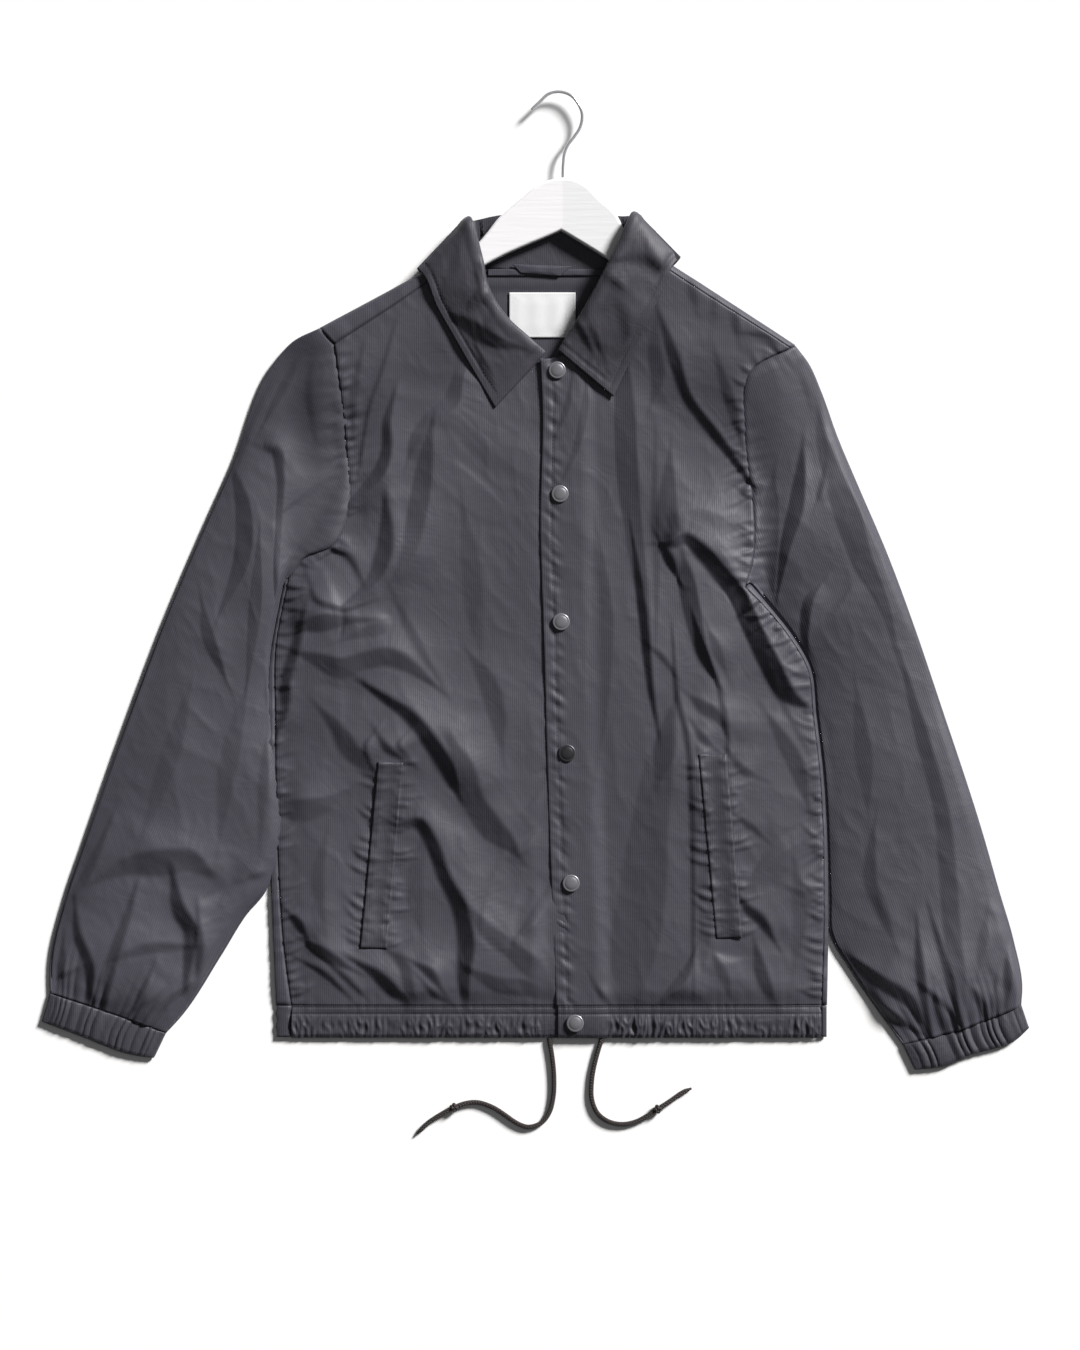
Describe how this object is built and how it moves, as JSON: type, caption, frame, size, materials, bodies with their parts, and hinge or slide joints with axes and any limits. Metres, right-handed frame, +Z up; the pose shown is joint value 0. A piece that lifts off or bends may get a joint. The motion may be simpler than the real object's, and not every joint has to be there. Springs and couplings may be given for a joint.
{
  "type": "coach jacket",
  "caption": "Snap-front nylon coach jacket with point collar, slanted welt pockets, gathered cuffs and a drawcord hem, laid flat with its wooden hanger in the neck.",
  "frame": {"origin": "middle of the jacket's outline, on the floor that it lies on", "axes": "+Z up from the floor, out of the front; +Y from the hem to the collar and hook; +X to the wearer's left, which is the picture's right"},
  "size_m": [0.9196, 0.9731, 0.0245],
  "materials": {
    "shell_nylon": "charcoal nylon with a soft sheen",
    "inner_cloth": "plain charcoal cloth",
    "label_white": "woven white label, bare",
    "snap_metal": "dull silver snap cap",
    "cord_black": "black braided cord",
    "painted_wood": "white paint, semi-gloss",
    "chrome_wire": "polished wire"
  },
  "bodies": {
    "root": {"back_panel": "shell_nylon", "front_right": "shell_nylon", "front_left": "shell_nylon", "sleeve_right": "shell_nylon", "sleeve_left": "shell_nylon", "cuff_right": "shell_nylon", "cuff_left": "shell_nylon", "hem_front_right": "shell_nylon", "hem_front_left": "shell_nylon", "hem_back": "shell_nylon", "collar": "shell_nylon", "welt_right": "shell_nylon", "welt_left": "shell_nylon", "neck_tape": "inner_cloth", "hanger_loop": "inner_cloth", "neck_label": "label_white", "snap_1": "snap_metal", "snap_2": "snap_metal", "snap_3": "snap_metal", "snap_4": "snap_metal", "snap_5": "snap_metal", "snap_6": "snap_metal", "drawcord_right": "cord_black", "drawcord_left": "cord_black", "cord_knot_right": "cord_black", "cord_knot_left": "cord_black", "hanger_wood": "painted_wood", "hanger_hook": "chrome_wire"}
  },
  "joints": []
}
